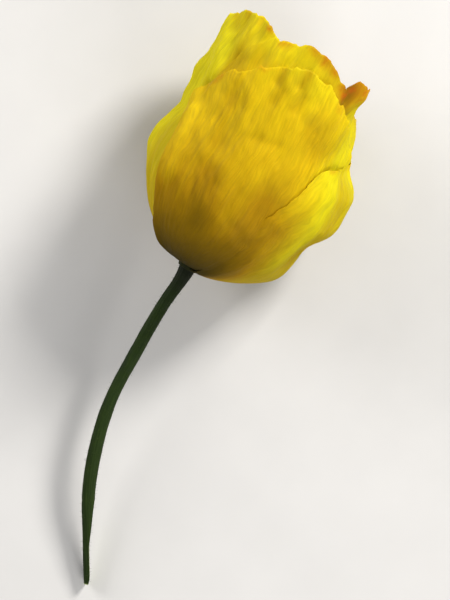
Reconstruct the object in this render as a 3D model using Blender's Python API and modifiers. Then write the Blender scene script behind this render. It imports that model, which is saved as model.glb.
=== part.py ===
"""Cut poppy flower lying on a table: stem, receptacle, four overlapping petals, seed capsule and stamens.

The head is one cup. Its wall is a turned surface with soft angular waves, and the four petals
are thin shells on parallel copies of that wall: the two inner petals first, the two outer ones
over them. The head rests on the underside of the back petal, which is pressed flat there, and on
the cut end of the stem. World axes: +Z up, the stem and head lie along +Y.
"""
import math
from dataclasses import dataclass

import bmesh
import bpy
import numpy as np
from mathutils import Matrix

MM = 0.001

# Attitude of the head. The axis points from the stem to the mouth.
HEAD_BASE = np.array((-6.98, 8.59, 15.80)) * MM
AXIS_IN_PLAN = math.radians(60.0)
AXIS_RISE = math.radians(9.0)

# Cup wall: (height above the head's base, radius), the innermost petal's middle surface.
CUP_WALL = np.array((
    (0.8, 2.1), (1.5, 6.1), (4.0, 11.0), (8.6, 15.6), (15.0, 18.9),
    (23.0, 19.6), (34.0, 18.5), (46.0, 17.9), (62.0, 17.0),
)) * MM
# Waves round the cup are (depth, number of waves, phase) and grow with height.
CUP_WAVES = ((0.35 * MM, 3, 0.5), (0.22 * MM, 5, -1.0))
WAVES_START, WAVES_FULL = 5 * MM, 40 * MM
# The side that faces the table is flatter, by a share of the radius.
UNDERSIDE, UNDERSIDE_WIDTH, UNDERSIDE_FLATTENING = 180, 58, 0.14
UNDERSIDE_START, UNDERSIDE_FULL = 1 * MM, 7 * MM
# Swells are (depth, angle, width, height where they start, height where they are full).
CUP_SWELLS = ((-2.4 * MM, 80, 42, 36 * MM, 50 * MM), (1.3 * MM, -90, 45, 30 * MM, 44 * MM))
# Humps are (depth, angle, width, height, reach along the axis).
CUP_HUMPS = ((0.9 * MM, -90, 40, 20 * MM, 7 * MM), (-0.5 * MM, -90, 45, 29 * MM, 4 * MM))

# Layers of petals, counted from the innermost, and the pitch between them.
LAYER_PITCH = 0.80 * MM
CLAW_PITCH = 0.62 * MM
PITCH_START, PITCH_FULL = 0.05, 0.22
INNER_CLAW_RADIUS = 2.85 * MM
CLAW_STEP = 0.20 * MM
PETAL_THICKNESS = 0.38 * MM
CLAW_THICKNESS = 0.28 * MM
OUTER_LAYER = 3
LIFT_SOFTNESS = 0.8 * MM

# Stem and receptacle. The stem's route is its plan, measured from the head's base.
STEM_RADIUS = 1.40 * MM
STEM_END_HEIGHT = 0.41 * MM
STEM_ROUTE = np.array((
    (-0.9, -1.54), (-6.8, -9.7), (-13.0, -20.5), (-17.6, -30.0),
    (-20.7, -40.0), (-22.2, -50.4), (-23.0, -61.0), (-23.9, -71.6),
)) * MM
STEM_STATIONS = 34
STEM_DROP_SHARES = (0.82, 0.18)
# Thickenings of the stem are (share of the radius, place along the stem, reach).
STEM_THICKENINGS = ((0.08, 0.0, 0.06), (0.10, 0.62, 0.10))
CUT_LENGTH = 20.0 * MM
CUTTER_WIDTH, CUTTER_LENGTH = 8 * MM, 60 * MM
SEAT_GAP = 0.30 * MM
RECEPTACLE_PROFILE = np.array((
    (3.0, 0.0), (3.0, 2.4), (2.6, 2.6), (0.9, 2.5), (-0.3, 2.15), (-1.0, 1.92), (-1.5, 1.6), (-1.5, 0.0),
)) * MM

# Seed capsule, its stigma disc and the stamens round it: heights are above the head's base.
CAPSULE_PROFILE = np.array((
    (12.2, 0.0), (12.2, 2.0), (11.4, 2.5), (9.4, 2.7), (7.0, 2.3), (5.0, 1.5), (3.3, 1.05), (3.3, 0.0),
)) * MM
STIGMA_PROFILE = np.array((
    (13.9, 0.0), (13.5, 1.3), (13.0, 3.0), (12.7, 3.3), (12.5, 3.0), (12.5, 0.0),
)) * MM
STAMEN_RINGS = (
    # count, foot radius, reach outward, anther height
    (20, 1.75 * MM, 6.2 * MM, 15.6 * MM),
    (20, 2.30 * MM, 9.0 * MM, 13.2 * MM),
)
STAMEN_FOOT = 3.15 * MM
FILAMENT_RADIUS = 0.13 * MM
ANTHER_RADIUS = 0.48 * MM
ANTHER_LENGTH = 2.0 * MM
STAMEN_BOW = 1.1
# How each stamen differs from its ring's size, and how fast that changes from one to the next.
STAMEN_SWAY, STAMEN_SWAY_STEP = 0.07, 2.4
STALK_SHARES = (0.0, 0.25, 0.5, 0.75, 1.0)
# The anther is (share of its length, share of its radius).
ANTHER_OUTLINE = ((0.12, 0.8), (0.5, 1.0), (0.88, 0.8), (1.0, 0.35))

# Grid of each petal. Columns crowd toward the margins, which turn the sharpest.
COLUMNS, ROWS = 27, 17
EDGE_CROWDING = math.radians(80.0)


def head_directions():
    """Unit vectors of the head: along its axis, sideways (level) and upward."""
    rise, turn = AXIS_RISE, AXIS_IN_PLAN
    along = np.array((math.cos(rise) * math.cos(turn), math.cos(rise) * math.sin(turn), math.sin(rise)))
    side = np.array((math.sin(turn), -math.cos(turn), 0.0))
    return along, side, np.cross(side, along)


ALONG, SIDE, UP = head_directions()


def bump(angle, centre, width):
    """A smooth hump of height 1 round an angle, both in degrees."""
    away = (np.degrees(angle) - centre + 180.0) % 360.0 - 180.0
    return np.exp(-(away / width) ** 2)


def ramp(value, start, end):
    """0 before start, 1 after end, smooth between."""
    share = np.clip((value - start) / (end - start), 0.0, 1.0)
    return share * share * (3.0 - 2.0 * share)


def curve_through(points, samples):
    """Samples of a smooth Catmull-Rom curve through rows of points, evenly spaced along it."""
    padded = np.vstack((2 * points[0] - points[1], points, 2 * points[-1] - points[-2]))
    fine = []
    for first, start, end, last in zip(padded, padded[1:], padded[2:], padded[3:]):
        t = np.linspace(0.0, 1.0, 40, endpoint=False)[:, None]
        fine.append(0.5 * (
            2 * start + (end - first) * t + (2 * first - 5 * start + 4 * end - last) * t ** 2
            + (3 * start - first - 3 * end + last) * t ** 3
        ))
    fine = np.vstack((*fine, points[-1:]))
    length = np.concatenate(((0.0,), np.cumsum(np.linalg.norm(np.diff(fine, axis=0), axis=1))))
    wanted = np.linspace(0.0, length[-1], samples)
    return np.stack([np.interp(wanted, length, column) for column in fine.T], axis=1)


WALL = curve_through(CUP_WALL, 400)
WALL_STEPS = np.linspace(0.0, 1.0, len(WALL))


def wall_position(height):
    """Place along the wall, 0 at the claw to 1 at the top, where it reaches a height."""
    return np.interp(height, WALL[:, 0], WALL_STEPS)


def claw_position(layer):
    """Place along the wall where a layer's petals start, close round the receptacle."""
    return np.interp(INNER_CLAW_RADIUS - layer * CLAW_STEP, WALL[:100, 1], WALL_STEPS[:100])


def cup_point(along_wall, angle):
    """The cup's wall in head coordinates (up, side, along). Angle 0 is the upper side."""
    height = np.interp(along_wall, WALL_STEPS, WALL[:, 0])
    radius = np.interp(along_wall, WALL_STEPS, WALL[:, 1])
    flattened = bump(angle, UNDERSIDE, UNDERSIDE_WIDTH) * ramp(height, UNDERSIDE_START, UNDERSIDE_FULL)
    radius = radius * (1.0 - UNDERSIDE_FLATTENING * flattened)
    for depth, number, phase in CUP_WAVES:
        radius = radius + depth * ramp(height, WAVES_START, WAVES_FULL) * np.sin(number * angle + phase)
    for depth, middle, width, start, full in CUP_SWELLS:
        radius = radius + depth * bump(angle, middle, width) * ramp(height, start, full)
    for depth, middle, width, level, reach in CUP_HUMPS:
        radius = radius + depth * bump(angle, middle, width) * np.exp(-((height - level) / reach) ** 2)
    return np.stack((radius * np.cos(angle), radius * np.sin(angle), height), axis=-1)


def surface_normal(surface, along_wall, angle):
    """Unit normals of a surface(along_wall, angle), pointing out of the cup."""
    step = 0.002
    along_wall = np.clip(along_wall, 2 * step, 1 - 2 * step)
    rise = surface(along_wall + step, angle) - surface(along_wall - step, angle)
    turn = surface(along_wall, angle + step) - surface(along_wall, angle - step)
    normal = np.cross(turn, rise)
    return normal / np.linalg.norm(normal, axis=-1, keepdims=True)


@dataclass(frozen=True)
class Petal:
    """One petal. Margins are (share of length, angle) and the rim is (angle, height) pairs."""

    name: str
    layer: int
    left: tuple
    right: tuple
    side_heights: tuple
    rim: tuple

    def angle(self, across, share):
        """Angle round the head of a place across (-1 to 1) and along (0 to 1) the petal."""
        left = np.interp(share, *zip(*self.left))
        right = np.interp(share, *zip(*self.right))
        return np.radians(left + (right - left) * (across + 1.0) / 2.0)

    def rim_height(self, across):
        """Height of the petal's edge, rounded down to the side heights at both margins."""
        degrees = np.degrees(self.angle(across, np.ones_like(across)))
        table = np.array(self.rim)
        crown = np.interp(degrees, table[:, 0], table[:, 1]) * MM
        side = np.where(across < 0, *self.side_heights) * MM
        return side + (crown - side) * np.sqrt(np.clip(1.0 - np.abs(across) ** 7, 0.0, 1.0))

    def swelling(self, angle, height):
        """How far the petal stands off its own layer."""
        return np.zeros_like(angle)


@dataclass(frozen=True)
class BackPetal(Petal):
    """The petal that the head lies on: it bulges at the side and its rim opens to the table."""

    belly_depth: float = 2.6 * MM
    belly_angle: float = 92
    belly_width: float = 50
    foot_depth: float = 4.4 * MM
    foot_angle: float = 178
    foot_width: float = 60

    def swelling(self, angle, height):
        belly = ramp(height, 14 * MM, 22 * MM) * (1.0 - ramp(height, 28 * MM, 36 * MM))
        foot = ramp(height, 12 * MM, 34 * MM)
        return (
            self.belly_depth * bump(angle, self.belly_angle, self.belly_width) * belly
            + self.foot_depth * bump(angle, self.foot_angle, self.foot_width) * foot
        )


@dataclass(frozen=True)
class FrontPetal(Petal):
    """The upper outer petal: its rim is puffed out in a few soft pleats."""

    puff_depth: float = 0.5 * MM
    puffs_round: int = 13
    puff_phase: float = 0.7

    def swelling(self, angle, height):
        puff = 0.5 + 0.5 * np.cos(self.puffs_round * angle + self.puff_phase)
        return self.puff_depth * puff * ramp(height, 40 * MM, 52 * MM)


PETALS = (
    Petal(
        "petal_left", 0,
        left=((0, -160), (0.3, -188), (1, -192)), right=((0, -55), (0.3, -22), (1, -12)),
        side_heights=(34, 42),
        rim=((-192, 46), (-150, 49), (-120, 50), (-90, 52.4), (-60, 55.6), (-37, 56.4), (-24, 55.2), (-12, 52.6)),
    ),
    Petal(
        "petal_right", 1,
        left=((0, 22), (0.2, -26), (0.5, -42), (0.8, -55), (1, -51)), right=((0, 120), (0.3, 138), (1, 145)),
        side_heights=(41, 34),
        rim=(
            (-51, 48.6), (-26, 55.2), (-10, 56.8), (2, 56.8), (15, 55.6), (28, 53), (37, 52),
            (45, 54.2), (54, 54), (66, 50.6), (80, 47.4), (100, 46.5), (145, 45),
        ),
    ),
    FrontPetal(
        "petal_front", 2,
        left=((0, -46), (0.2, -44), (0.45, -45), (0.8, -51), (1, -64)), right=((0, 40), (0.3, 66), (1, 82)),
        side_heights=(34, 38),
        rim=((-64, 37), (-50, 41), (-36, 44.0), (-21, 47.4), (-7, 50.4), (6, 51.8), (24, 51.0), (44, 46.6), (82, 43)),
    ),
    BackPetal(
        "petal_back", 3,
        left=((0, 62), (0.12, 30), (0.3, 21), (0.65, 25), (1, 44)), right=((0, 200), (0.3, 212), (1, 222)),
        side_heights=(33, 34),
        rim=((44, 35.2), (62, 35.6), (90, 33.8), (120, 37), (150, 42), (178, 43.5), (222, 41)),
    ),
)


def petal_middle(petal, along_wall, angle):
    """The petal's middle surface in world coordinates, lifted off the table where it would sink in."""
    height = np.interp(along_wall, WALL_STEPS, WALL[:, 0])
    pitch = CLAW_PITCH + (LAYER_PITCH - CLAW_PITCH) * ramp(along_wall, PITCH_START, PITCH_FULL)
    offset = petal.layer * pitch + petal.swelling(angle, height)
    normal = surface_normal(cup_point, along_wall, angle)
    local = cup_point(along_wall, angle) + normal * offset[..., None]
    world = HEAD_BASE + local @ np.stack((UP, SIDE, ALONG))
    lowest = PETAL_THICKNESS / 2 + (OUTER_LAYER - petal.layer) * LAYER_PITCH
    softness = 0.0 if petal.layer == OUTER_LAYER else LIFT_SOFTNESS
    above = world[..., 2] - lowest
    world[..., 2] = lowest + 0.5 * (above + np.sqrt(above ** 2 + softness ** 2))
    return world


def make_material(name, colour, roughness):
    """A Principled material with a base colour and a roughness."""
    material = bpy.data.materials.new(name)
    material.use_nodes = True
    surface = material.node_tree.nodes["Principled BSDF"]
    surface.inputs["Base Color"].default_value = (*colour, 1.0)
    surface.inputs["Roughness"].default_value = roughness
    surface.inputs["Metallic"].default_value = 0.0
    return material


def add_object(name, data, material, collection):
    """Links a mesh or curve as an object with its material."""
    thing = bpy.data.objects.new(name, data)
    data.materials.append(material)
    collection.objects.link(thing)
    return thing


def mesh_from(name, vertices, faces):
    """A smooth mesh from vertex positions and faces, its normals turned outward."""
    mesh = bpy.data.meshes.new(name)
    mesh.from_pydata([tuple(v) for v in vertices], [], faces)
    shape = bmesh.new()
    shape.from_mesh(mesh)
    bmesh.ops.recalc_face_normals(shape, faces=shape.faces)
    shape.to_mesh(mesh)
    shape.free()
    mesh.shade_smooth()
    return mesh


def make_petal(petal, material, collection):
    """A closed thin shell: outer and inner skins of one grid, joined round the edge."""
    across, share = np.meshgrid(np.linspace(-1, 1, COLUMNS), np.linspace(0, 1, ROWS))
    across = np.sin(across * EDGE_CROWDING) / math.sin(EDGE_CROWDING)
    angle = petal.angle(across, share)
    claw = claw_position(petal.layer)
    along_wall = claw + share * (wall_position(petal.rim_height(across)) - claw)

    def middle(position, turn):
        return petal_middle(petal, position, turn)

    centre = middle(along_wall, angle)
    normal = surface_normal(middle, along_wall, angle)
    thickness = CLAW_THICKNESS + (PETAL_THICKNESS - CLAW_THICKNESS) * ramp(share, 0.0, 0.2)
    half = normal * thickness[..., None] / 2
    outer = centre + half
    outer[..., 2] = np.maximum(outer[..., 2], 0.0)
    inner = centre - half
    vertices = np.concatenate((outer.reshape(-1, 3), inner.reshape(-1, 3)))
    skin = ROWS * COLUMNS
    faces = []
    for row in range(ROWS - 1):
        for column in range(COLUMNS - 1):
            corner = row * COLUMNS + column
            quad = (corner, corner + 1, corner + COLUMNS + 1, corner + COLUMNS)
            faces.append(quad)
            faces.append(tuple(skin + index for index in reversed(quad)))
    edge = [*range(COLUMNS)]
    edge += [row * COLUMNS + COLUMNS - 1 for row in range(1, ROWS)]
    edge += [(ROWS - 1) * COLUMNS + column for column in reversed(range(COLUMNS - 1))]
    edge += [row * COLUMNS for row in reversed(range(1, ROWS - 1))]
    for start, end in zip(edge, edge[1:] + edge[:1]):
        faces.append((end, start, skin + start, skin + end))
    return add_object(petal.name, mesh_from(petal.name, vertices, faces), material, collection)


def make_turned(name, profile, steps, material, collection):
    """A turned piece on the head's axis, from (height, radius) points with both ends on the axis."""
    mesh = bpy.data.meshes.new(name)
    points = [(radius, 0.0, height) for height, radius in profile]
    mesh.from_pydata(points, [(i, i + 1) for i in range(len(points) - 1)], [])
    thing = add_object(name, mesh, material, collection)
    place = np.identity(4)
    place[:3, 0], place[:3, 1], place[:3, 2], place[:3, 3] = UP, SIDE, ALONG, HEAD_BASE
    thing.matrix_world = Matrix(place.tolist())
    screw = thing.modifiers.new("turn", "SCREW")
    screw.axis = "Z"
    screw.steps = steps
    screw.render_steps = steps
    screw.use_merge_vertices = True
    screw.merge_threshold = 0.00001
    screw.use_smooth_shade = True
    return thing


def make_tube(name, points, radii, bevel_resolution, material, collection):
    """A tube with filled ends along points, each with its own radius."""
    curve = bpy.data.curves.new(name, "CURVE")
    curve.dimensions = "3D"
    curve.bevel_depth = 1.0
    curve.bevel_resolution = bevel_resolution
    curve.use_fill_caps = True
    spline = curve.splines.new("POLY")
    spline.points.add(len(points) - 1)
    for target, place, radius in zip(spline.points, points, radii):
        target.co = (*place, 1.0)
        target.radius = radius
    return add_object(name, curve, material, collection)


def curve_to_mesh(tube, material, collection):
    """Replaces a curve object with a welded mesh object of the same name."""
    name = tube.name
    shape = bpy.data.meshes.new_from_object(tube.evaluated_get(bpy.context.evaluated_depsgraph_get()))
    bpy.data.objects.remove(tube)
    welded = bmesh.new()
    welded.from_mesh(shape)
    bmesh.ops.remove_doubles(welded, verts=welded.verts, dist=0.000001)
    bmesh.ops.recalc_face_normals(welded, faces=welded.faces)
    welded.to_mesh(shape)
    welded.free()
    shape.shade_smooth()
    shape.materials.clear()
    return add_object(name, shape, material, collection)


def stem_points():
    """The stem's middle line, from under the receptacle down to its cut end on the table."""
    top = HEAD_BASE[2] + ALONG[2] * (RECEPTACLE_PROFILE[-1, 0] - SEAT_GAP)
    plan = HEAD_BASE[:2] + curve_through(STEM_ROUTE, STEM_STATIONS)
    run = np.linspace(0.0, 1.0, STEM_STATIONS)
    straight, bent = STEM_DROP_SHARES
    drop = (top - STEM_END_HEIGHT) * (straight * run + bent * run ** 2)
    return np.column_stack((plan, top - drop))


def make_stem(material, cutter_material, collection, cutters):
    """The stem, cut at a long slant across its lower end."""
    points = stem_points()
    run = np.linspace(0.0, 1.0, STEM_STATIONS)
    radii = STEM_RADIUS * (1.0 + sum(
        share * np.exp(-((run - place) / reach) ** 2) for share, place, reach in STEM_THICKENINGS
    ))
    tube = make_tube("stem", points, radii, 3, material, collection)
    stem = curve_to_mesh(tube, material, collection)
    end = points[-1]
    heading = points[-6] - end
    heading /= np.linalg.norm(heading)
    across = np.cross((0.0, 0.0, 1.0), heading)
    across /= np.linalg.norm(across)
    bpy.ops.mesh.primitive_cube_add(size=1.0)
    cutter = bpy.context.object
    cutter.name = "stem_end_cutter"
    for owner in list(cutter.users_collection):
        owner.objects.unlink(cutter)
    cutters.objects.link(cutter)
    slant = math.atan2(2.0 * STEM_RADIUS, CUT_LENGTH)
    plane_along = heading * math.cos(slant) + across * math.sin(slant)
    plane_out = across * math.cos(slant) - heading * math.sin(slant)
    width, length = CUTTER_WIDTH, CUTTER_LENGTH
    tip = end - across * STEM_RADIUS
    place = np.identity(4)
    place[:3, 0] = plane_along * length
    place[:3, 1] = plane_out * width
    place[:3, 2] = np.cross(plane_along, plane_out) * width
    place[:3, 3] = tip + plane_out * width / 2
    cutter.matrix_world = Matrix(place.tolist())
    cutter.data.materials.append(cutter_material)
    cutter.hide_render = True
    cutter.display_type = "WIRE"
    cut = stem.modifiers.new("slanting cut", "BOOLEAN")
    cut.operation = "DIFFERENCE"
    cut.object = cutter
    return stem


def make_stamens(material, collection):
    """Stamens in rings round the capsule, each one tube that swells into its anther."""
    made = 0
    for ring, (count, foot, reach, top) in enumerate(STAMEN_RINGS):
        for index in range(count):
            angle = 2 * math.pi * (index + 0.5 * ring) / count
            sway = 1.0 + STAMEN_SWAY * math.sin(STAMEN_SWAY_STEP * index + ring)
            outward = SIDE * math.sin(angle) + UP * math.cos(angle)
            stalk = [
                HEAD_BASE + outward * (foot + (reach * sway - foot) * t ** STAMEN_BOW)
                + ALONG * (STAMEN_FOOT + (top * sway - STAMEN_FOOT) * t) for t in STALK_SHARES
            ]
            lean = stalk[-1] - stalk[-2]
            lean /= np.linalg.norm(lean)
            anther = [stalk[-1] + lean * ANTHER_LENGTH * length for length, _ in ANTHER_OUTLINE]
            radii = [FILAMENT_RADIUS] * len(stalk) + [ANTHER_RADIUS * width for _, width in ANTHER_OUTLINE]
            made += 1
            make_tube(f"stamen_{made:02d}", stalk + anther, radii, 1, material, collection)


def main():
    """Builds the flower."""
    for thing in list(bpy.data.objects):
        bpy.data.objects.remove(thing)
    flower = bpy.data.collections.new("poppy_flower")
    cutters = bpy.data.collections.new("cutters")
    bpy.context.scene.collection.children.link(flower)
    bpy.context.scene.collection.children.link(cutters)

    petal_skin = make_material("petal", (0.80, 0.58, 0.02), 0.55)
    stem_skin = make_material("stem", (0.03, 0.06, 0.015), 0.6)
    receptacle_skin = make_material("receptacle", (0.05, 0.08, 0.02), 0.6)
    capsule_skin = make_material("capsule", (0.16, 0.24, 0.06), 0.65)
    stigma_skin = make_material("stigma", (0.45, 0.48, 0.12), 0.7)
    stamen_skin = make_material("stamen", (0.75, 0.52, 0.05), 0.75)

    make_stem(stem_skin, stem_skin, flower, cutters)
    make_turned("receptacle", RECEPTACLE_PROFILE, 20, receptacle_skin, flower)
    for petal in PETALS:
        make_petal(petal, petal_skin, flower)
    make_turned("seed_capsule", CAPSULE_PROFILE, 20, capsule_skin, flower)
    make_turned("stigma_disc", STIGMA_PROFILE, 20, stigma_skin, flower)
    make_stamens(stamen_skin, flower)


if __name__ == "__main__":
    main()
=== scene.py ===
"""Dresses a cut poppy flower that lies on a pale table.

The head is a cup of four crinkled silk petals round a seed capsule and its stamens, on a hairy stem
that was cut at a long slant. Lengths are in metres unless a name says otherwise.
"""

import logging
import math
from dataclasses import dataclass, field
from enum import Enum

import bmesh
import bpy
import numpy as np
from mathutils import Matrix, Vector


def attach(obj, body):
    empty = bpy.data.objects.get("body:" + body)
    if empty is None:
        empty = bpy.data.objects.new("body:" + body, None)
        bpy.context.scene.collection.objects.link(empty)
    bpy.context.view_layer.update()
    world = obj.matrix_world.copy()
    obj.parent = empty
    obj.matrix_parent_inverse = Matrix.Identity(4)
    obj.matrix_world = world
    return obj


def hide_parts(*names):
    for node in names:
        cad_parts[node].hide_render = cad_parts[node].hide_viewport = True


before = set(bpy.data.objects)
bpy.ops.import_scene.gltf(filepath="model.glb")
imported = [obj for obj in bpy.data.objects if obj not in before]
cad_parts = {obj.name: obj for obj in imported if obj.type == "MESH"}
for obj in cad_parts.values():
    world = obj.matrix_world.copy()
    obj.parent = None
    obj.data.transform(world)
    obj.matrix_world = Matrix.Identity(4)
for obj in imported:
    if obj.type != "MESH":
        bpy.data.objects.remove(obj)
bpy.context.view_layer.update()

LOG = logging.getLogger("poppy")
MM = 0.001
BODY = "root"
OWN_MAP = "petal_map"

Grid = np.ndarray
Pairs = tuple[tuple[float, float], ...]
Place = tuple[float, float, float]
Colour = tuple[float, float, float]
Socket = bpy.types.NodeSocket
Feed = dict[str | int, object]


# ---------------------------------------------------------------- shapes that several pieces share

WORD = 0xFFFFFFFF
MIX_ACROSS, MIX_ALONG, MIX_SEED, MIX_AGAIN = 374761393, 668265263, 974634777, 1274126177
SPAN_SAMPLES = 40


def hump(value: Grid, centre: float, width: float) -> Grid:
    """A smooth hump of height 1 at its centre that fades over its width to each side."""
    return np.exp(-(((value - centre) / width) ** 2))


def bump(angle: Grid, centre: float, width: float) -> Grid:
    """The same hump round an angle in radians, with its centre and width in degrees."""
    return hump((np.degrees(angle) - centre + 180.0) % 360.0 - 180.0, 0.0, width)


def ramp(value: Grid, start: float, end: float) -> Grid:
    """A smooth step that is 0 up to start and 1 from end on."""
    share = np.clip((value - start) / (end - start), 0.0, 1.0)
    return share * share * (3.0 - 2.0 * share)


def ripple(x: Grid, y: Grid, seed: int) -> Grid:
    """Smooth seeded noise between -1 and 1, on a lattice of unit pitch.

    Args:
        x: Places across the lattice.
        y: Places along the lattice.
        seed: Which pattern.

    Returns:
        The noise at each place.
    """
    column, row = np.floor(x).astype(np.int64), np.floor(y).astype(np.int64)
    u, v = x - column, y - row
    u, v = u * u * (3.0 - 2.0 * u), v * v * (3.0 - 2.0 * v)

    def knot(right: int, up: int) -> Grid:
        """The lattice's fixed value at a corner of the cell.

        Args:
            right: 1 for the cell's far side across, else 0.
            up: 1 for its far side along, else 0.

        Returns:
            The value, -1 to 1.
        """
        mixed = ((column + right) * MIX_ACROSS + (row + up) * MIX_ALONG + seed * MIX_SEED) & WORD
        mixed = ((mixed ^ (mixed >> 13)) * MIX_AGAIN) & WORD
        return (mixed ^ (mixed >> 16)) / (WORD / 2) - 1.0

    low = knot(0, 0) * (1.0 - u) + knot(1, 0) * u
    high = knot(0, 1) * (1.0 - u) + knot(1, 1) * u
    return low * (1.0 - v) + high * v


def curve_through(points: Grid, samples: int) -> Grid:
    """A smooth Catmull-Rom curve through points.

    Args:
        points: One point a row.
        samples: How many samples to give back.

    Returns:
        The samples, evenly spaced along the curve.
    """
    padded = np.vstack((2 * points[0] - points[1], points, 2 * points[-1] - points[-2]))
    t = np.linspace(0.0, 1.0, SPAN_SAMPLES, endpoint=False)[:, None]
    fine = [
        0.5 * (
            2 * start + (end - first) * t + (2 * first - 5 * start + 4 * end - last) * t**2
            + (3 * start - first - 3 * end + last) * t**3
        )
        for first, start, end, last in zip(padded, padded[1:], padded[2:], padded[3:])
    ]
    fine = np.vstack((*fine, points[-1:]))
    length = np.concatenate(((0.0,), np.cumsum(np.linalg.norm(np.diff(fine, axis=0), axis=1))))
    wanted = np.linspace(0.0, length[-1], samples)
    return np.stack([np.interp(wanted, length, column) for column in fine.T], axis=1)


@dataclass(frozen=True)
class HeadPlace:
    """Where the head stands and which way its axis points.

    Attributes:
        base: Where the axis starts, at the receptacle.
        turn: The axis's heading on the table, from +X, in radians.
        rise: How far the axis points up, in radians.
    """

    base: Place = (-6.98 * MM, 8.59 * MM, 15.80 * MM)
    turn: float = math.radians(60.0)
    rise: float = math.radians(9.0)

    def directions(self) -> Grid:
        """Which way the head's own directions point.

        Returns:
            Unit vectors up from, to the side of and along the axis, one a row.
        """
        flat, lift = math.cos(self.rise), math.sin(self.rise)
        along = np.array((flat * math.cos(self.turn), flat * math.sin(self.turn), lift))
        side = np.array((math.sin(self.turn), -math.cos(self.turn), 0.0))
        return np.stack((np.cross(side, along), side, along))

    def world(self, local: Grid) -> Grid:
        """World places of head coordinates (up, side, along)."""
        return np.array(self.base) + local @ self.directions()


HEAD = HeadPlace()


# ---------------------------------------------------------------- pieces and their meshes


def add_piece(name: str, mesh: bpy.types.Mesh) -> bpy.types.Object:
    """Links a mesh to the scene as a piece at the origin.

    Args:
        name: The piece's name.
        mesh: Its mesh.

    Returns:
        The piece.
    """
    piece = bpy.data.objects.new(name, mesh)
    bpy.context.scene.collection.objects.link(piece)
    return piece


def keep_piece(
    piece: bpy.types.Object, nodes: tuple[str, ...] = (), finish: bpy.types.Material | None = None
) -> None:
    """Gives a finished piece its place in the model.

    Args:
        piece: The piece.
        nodes: The CAD nodes it stands for.
        finish: Its material, where it has none yet.
    """
    if finish:
        piece.data.materials.append(finish)
    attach(piece, BODY)
    if nodes:
        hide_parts(*nodes)
    LOG.info("%s: %d faces for %d CAD nodes", piece.name, len(piece.data.polygons), len(nodes))


def grid_mesh(name: str, places: Grid, closed: bool = False) -> bpy.types.Mesh:
    """A smooth mesh over a grid of places.

    Args:
        name: The mesh's name.
        places: World places, rows by columns by 3.
        closed: Whether the last column joins the first.

    Returns:
        The mesh, with its faces in row order.
    """
    rows, columns = places.shape[:2]
    spans = columns if closed else columns - 1
    row, column = np.meshgrid(np.arange(rows - 1), np.arange(spans), indexing="ij")
    here = row * columns + column
    right = row * columns + (column + 1) % columns
    corners = np.stack((here, right, right + columns, here + columns), axis=-1).reshape(-1, 4)
    mesh = bpy.data.meshes.new(name)
    mesh.from_pydata(places.reshape(-1, 3).tolist(), [], corners.tolist())
    mesh.shade_smooth()
    return mesh


def set_values(mesh: bpy.types.Mesh, name: str, values: Grid) -> None:
    """Stores one number a vertex as a named attribute."""
    store = mesh.attributes.new(name, "FLOAT", "POINT")
    store.data.foreach_set("value", values.astype(np.float32).ravel())


def set_uv(mesh: bpy.types.Mesh, across: Grid, along: Grid) -> None:
    """Stores the piece's own map.

    Args:
        mesh: The mesh.
        across: Place across the map, one a vertex.
        along: Place along the map, one a vertex.
    """
    loops = np.zeros(len(mesh.loops), np.int32)
    mesh.loops.foreach_get("vertex_index", loops)
    pairs = np.stack((across.ravel()[loops], along.ravel()[loops]), axis=1)
    mesh.uv_layers.new(name=OWN_MAP).data.foreach_set("uv", pairs.astype(np.float32).ravel())


def mend(mesh: bpy.types.Mesh, doubles: float = 0.0) -> None:
    """Closes a mesh's open ends and turns its faces outward.

    Args:
        mesh: The mesh.
        doubles: Vertices nearer than this are merged first; at 0 none are.
    """
    shape = bmesh.new()
    shape.from_mesh(mesh)
    if doubles:
        bmesh.ops.remove_doubles(shape, verts=shape.verts, dist=doubles)
    bmesh.ops.holes_fill(shape, edges=[edge for edge in shape.edges if edge.is_boundary], sides=0)
    bmesh.ops.triangulate(shape, faces=[face for face in shape.faces if len(face.verts) > 4])
    bmesh.ops.recalc_face_normals(shape, faces=shape.faces)
    shape.to_mesh(mesh)
    shape.free()
    mesh.shade_smooth()


def grow(name: str, start: bpy.types.Mesh, tree: bpy.types.NodeTree, inputs: Feed) -> bpy.types.Object:
    """Runs a geometry tree on a mesh and keeps the result as a plain piece.

    Args:
        name: The piece's name.
        start: The mesh the tree works on.
        tree: The geometry tree.
        inputs: Values for the tree's named inputs.

    Returns:
        The plain piece.
    """
    seedling = add_piece(f"{name}_start", start)
    modifier = seedling.modifiers.new("growth", "NODES")
    modifier.node_group = tree
    for item in tree.interface.items_tree:
        if item.item_type == "SOCKET" and item.in_out == "INPUT" and item.name in inputs:
            modifier[item.identifier] = inputs[item.name]
    graph = bpy.context.evaluated_depsgraph_get()
    mesh = bpy.data.meshes.new_from_object(seedling.evaluated_get(graph))
    mesh.name = name
    bpy.data.objects.remove(seedling)
    mesh.shade_smooth()
    return add_piece(name, mesh)


# ---------------------------------------------------------------- node trees


class Wire(Enum):
    """What an input or output of a group carries."""

    NUMBER = "NodeSocketFloat"
    COUNT = "NodeSocketInt"
    VECTOR = "NodeSocketVector"
    SHAPE = "NodeSocketGeometry"
    FINISH = "NodeSocketMaterial"


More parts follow.
